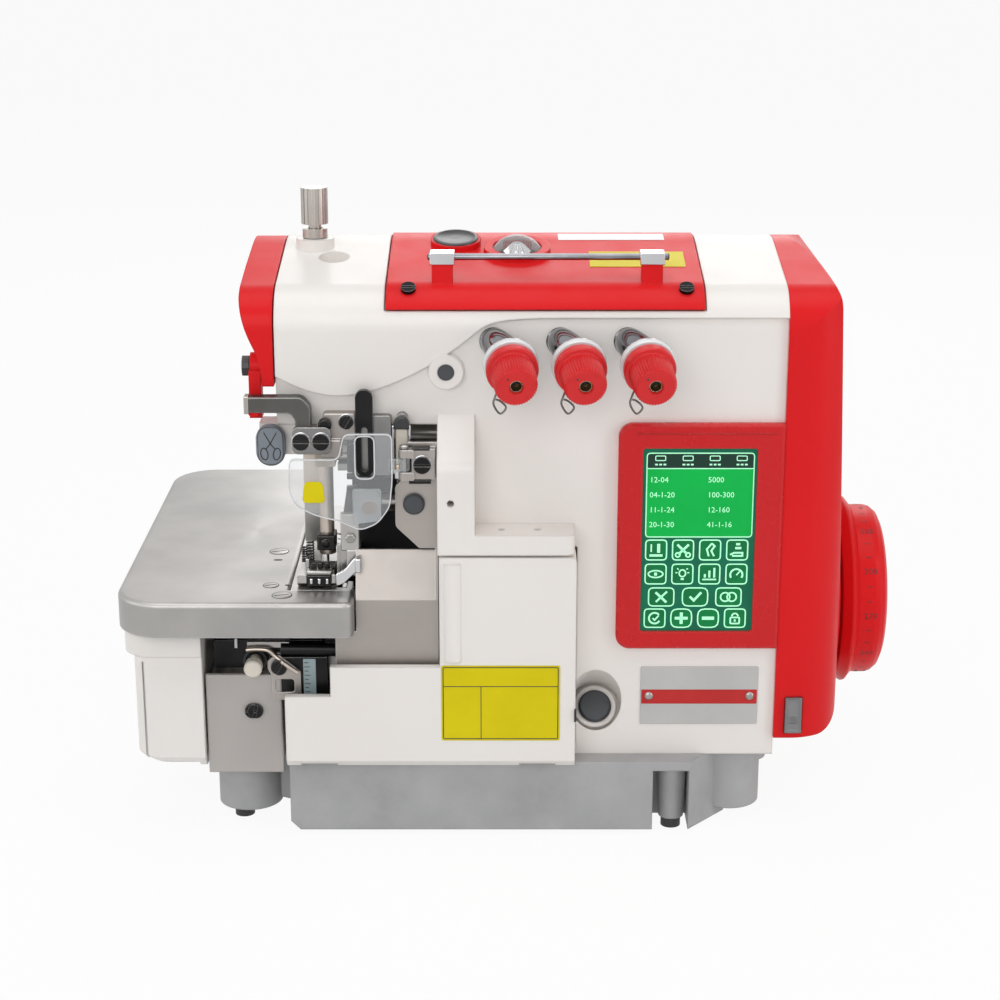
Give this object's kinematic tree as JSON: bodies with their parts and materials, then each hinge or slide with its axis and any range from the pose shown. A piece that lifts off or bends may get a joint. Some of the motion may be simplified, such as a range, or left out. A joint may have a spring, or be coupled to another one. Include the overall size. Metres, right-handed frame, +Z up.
{
  "type": "serger overlock machine",
  "caption": "Direct-drive industrial overlock sewing machine with swing cloth plate, tilting looper cover, thread tensions, touch panel, handwheel and oil pan.",
  "frame": {"origin": "centre of the overall box, on the surface under the rubber feet", "axes": "+X towards the handwheel, +Y away from the operator, +Z up"},
  "size_m": [0.3892, 0.254, 0.316],
  "materials": {
    "white_paint": "satin warm white enamel",
    "red_paint": "glossy bright red enamel",
    "cast_aluminium": "fine sand-cast, tumbled",
    "brushed_plate": "brushed front to back, polished rim",
    "machined_steel": "ground and lightly oiled",
    "dark_steel": "black oxide",
    "chrome": "polished",
    "black_rubber": "matte",
    "red_plastic": "moulded, serrated",
    "black_plastic": "moulded",
    "grey_plastic": "moulded",
    "red_gloss_frame": "glossy moulded frame",
    "screen_glass": "lit touch screen behind clear glass",
    "clear_guard": "clear polycarbonate",
    "clear_glass": "clear moulded dome",
    "stator_core": "stacked laminations"
  },
  "bodies": {
    "frame": {"machine_body": "white_paint", "base_pan": "cast_aluminium", "rubber_feet": "black_rubber", "left_end_cap": "red_paint", "top_cover": "red_paint", "top_cover_gasket": "black_rubber", "slotted_screws": "dark_steel", "sight_glass": "clear_glass", "thread_rail": "chrome", "motor_cover": "red_paint", "cable_gland": "black_plastic", "shaft_bearings": "machined_steel", "motor_stator": "stator_core", "panel_bezel": "red_gloss_frame", "panel_screen": "screen_glass", "rubber_plugs": "black_rubber", "tension_posts": "chrome", "tension_discs": "chrome", "left_side_housing": "white_paint", "needle_plate": "brushed_plate", "plate_insert": "brushed_plate", "plate_support": "machined_steel", "thread_guides": "machined_steel", "eye_guard_bracket": "machined_steel", "lower_knife": "machined_steel", "upper_looper_guide": "machined_steel", "looper_guard": "brushed_plate", "side_plate": "white_paint", "adjuster_block": "black_plastic"},
    "drive_shaft": {"main_shaft": "machined_steel", "motor_rotor": "machined_steel", "handwheel": "red_paint"},
    "needle_fork": {"needle_drive_shaft": "machined_steel"},
    "needle_carrier": {"needle_bar": "machined_steel", "needle": "chrome"},
    "take_up": {"take_up_lever": "dark_steel"},
    "presser": {"presser_foot": "machined_steel", "presser_arm": "dark_steel"},
    "knife_rocker": {"upper_knife_arm": "dark_steel", "upper_knife": "machined_steel"},
    "lower_looper_arm": {"lower_looper": "machined_steel"},
    "upper_looper_rod": {"upper_looper": "machined_steel"},
    "feed_carrier": {"feed_dogs": "machined_steel"},
    "swing_plate": {"cloth_plate": "brushed_plate"},
    "cover_rod": {"cover_hinge_rod": "machined_steel"},
    "looper_cover": {"front_cover": "white_paint"},
    "eye_shield": {"eye_guard": "clear_guard"},
    "hand_lever": {"release_lever": "machined_steel"},
    "trim_key": {"trim_button": "grey_plastic"},
    "stitch_key": {"stitch_button": "machined_steel"},
    "feed_adjuster": {"feed_lever": "machined_steel"},
    "foot_pressure": {"pressure_screw": "chrome"},
    "lock_ring": {"pressure_lock_nut": "chrome"},
    "tension_dial_1": {"tension_knob_1": "red_plastic"},
    "tension_dial_2": {"tension_knob_2": "red_plastic"},
    "tension_dial_3": {"tension_knob_3": "red_plastic"},
    "filler_cap": {"oil_filler_cap": "black_plastic"},
    "end_knob": {"side_knob": "red_plastic"},
    "port_flap": {"port_cover": "grey_plastic"}
  },
  "joints": [
    {"name": "handwheel_spin", "type": "hinge", "parent": "frame", "child": "drive_shaft", "pos_m": [0.00335, 0.016, 0.095], "axis": [1, 0, 0], "continuous": true},
    {"name": "needle_drive_rock", "type": "hinge", "parent": "frame", "child": "needle_fork", "pos_m": [-0.05665, -0.021, 0.192], "axis": [1, 0, 0], "range_deg": [-16, 16]},
    {"name": "needle_bar_slide", "type": "slide", "parent": "frame", "child": "needle_carrier", "axis": [0, 0, 1], "range_m": [-0.01204, 0.01204]},
    {"name": "take_up_slide", "type": "slide", "parent": "frame", "child": "take_up", "axis": [0, 0, 1], "range_m": [-0.00602, 0.00602]},
    {"name": "presser_lift", "type": "hinge", "parent": "frame", "child": "presser", "pos_m": [-0.10115, 0.033, 0.203], "axis": [-1, 0, 0], "range_deg": [0, 4]},
    {"name": "upper_knife_rock", "type": "hinge", "parent": "frame", "child": "knife_rocker", "pos_m": [-0.05665, -0.03, 0.158], "axis": [-1, 0, 0], "range_deg": [-4, 4]},
    {"name": "lower_looper_rock", "type": "hinge", "parent": "frame", "child": "lower_looper_arm", "pos_m": [-0.06665, -0.06, 0.06], "axis": [0, 1, 0], "range_deg": [-12, 12]},
    {"name": "upper_looper_slide", "type": "slide", "parent": "frame", "child": "upper_looper_rod", "axis": [-0.5446, 0, 0.8387], "range_m": [-0.01002, 0.01002]},
    {"name": "feed_slide", "type": "slide", "parent": "frame", "child": "feed_carrier", "axis": [0, 1, 0], "range_m": [-0.0015, 0.0015]},
    {"name": "cloth_plate_swing", "type": "hinge", "parent": "frame", "child": "swing_plate", "pos_m": [-0.17265, 0.098, 0.12], "axis": [0, 0, 1], "range_deg": [-80, 0]},
    {"name": "cover_slide", "type": "slide", "parent": "frame", "child": "cover_rod", "axis": [1, 0, 0], "range_m": [0, 0.008]},
    {"name": "cover_tip", "type": "hinge", "parent": "cover_rod", "child": "looper_cover", "pos_m": [-0.03665, -0.092, 0.048], "axis": [1, 0, 0], "range_deg": [0, 90]},
    {"name": "eye_guard_swing", "type": "hinge", "parent": "frame", "child": "eye_shield", "pos_m": [-0.05265, -0.094, 0.196], "axis": [0, 0, 1], "range_deg": [0, 100]},
    {"name": "release_lever_turn", "type": "hinge", "parent": "frame", "child": "hand_lever", "pos_m": [-0.12445, -0.083, 0.22], "axis": [0, -1, 0], "range_deg": [0, 15]},
    {"name": "trim_button_press", "type": "slide", "parent": "frame", "child": "trim_key", "axis": [0, 1, 0], "range_m": [0, 0.0022], "stiffness_N_per_m": 400},
    {"name": "stitch_button_press", "type": "slide", "parent": "frame", "child": "stitch_key", "axis": [0, 1, 0], "range_m": [0, 0.004], "stiffness_N_per_m": 400},
    {"name": "feed_lever_turn", "type": "hinge", "parent": "frame", "child": "feed_adjuster", "pos_m": [-0.11615, -0.083, 0.091], "axis": [0, 1, 0], "range_deg": [0, 8]},
    {"name": "pressure_screw_turn", "type": "hinge", "parent": "frame", "child": "foot_pressure", "pos_m": [-0.09915, -0.0145, 0.3], "axis": [0, 0, 1], "continuous": true},
    {"name": "lock_nut_turn", "type": "hinge", "parent": "frame", "child": "lock_ring", "pos_m": [-0.09915, -0.0145, 0.295], "axis": [0, 0, 1], "continuous": true},
    {"name": "tension_turn_1", "type": "hinge", "parent": "frame", "child": "tension_dial_1", "pos_m": [-0.00475, -0.079, 0.2525], "axis": [0.1101, -0.9661, -0.2334], "continuous": true},
    {"name": "tension_turn_2", "type": "hinge", "parent": "frame", "child": "tension_dial_2", "pos_m": [0.02695, -0.079, 0.2525], "axis": [0.1101, -0.9661, -0.2334], "continuous": true},
    {"name": "tension_turn_3", "type": "hinge", "parent": "frame", "child": "tension_dial_3", "pos_m": [0.05894, -0.079, 0.2525], "axis": [0.1101, -0.9661, -0.2334], "continuous": true},
    {"name": "filler_cap_turn", "type": "hinge", "parent": "frame", "child": "filler_cap", "pos_m": [-0.02915, -0.0155, 0.28752], "axis": [0, -0.1778, 0.9841], "continuous": true},
    {"name": "side_knob_turn", "type": "hinge", "parent": "frame", "child": "end_knob", "pos_m": [-0.12665, -0.067, 0.238], "axis": [1, 0, 0], "continuous": true},
    {"name": "port_flap_open", "type": "hinge", "parent": "frame", "child": "port_flap", "pos_m": [0.13935, -0.0816, 0.0537], "axis": [1, 0, 0], "range_deg": [0, 100]}
  ],
  "couplings": [
    {"joint": "needle_bar_slide", "follows": "needle_drive_rock", "m_per_rad": -0.0431},
    {"joint": "take_up_slide", "follows": "needle_drive_rock", "m_per_rad": -0.0215},
    {"joint": "upper_knife_rock", "follows": "needle_drive_rock", "ratio": -0.25},
    {"joint": "lower_looper_rock", "follows": "needle_drive_rock", "ratio": -0.75},
    {"joint": "upper_looper_slide", "follows": "needle_drive_rock", "m_per_rad": -0.0358}
  ]
}
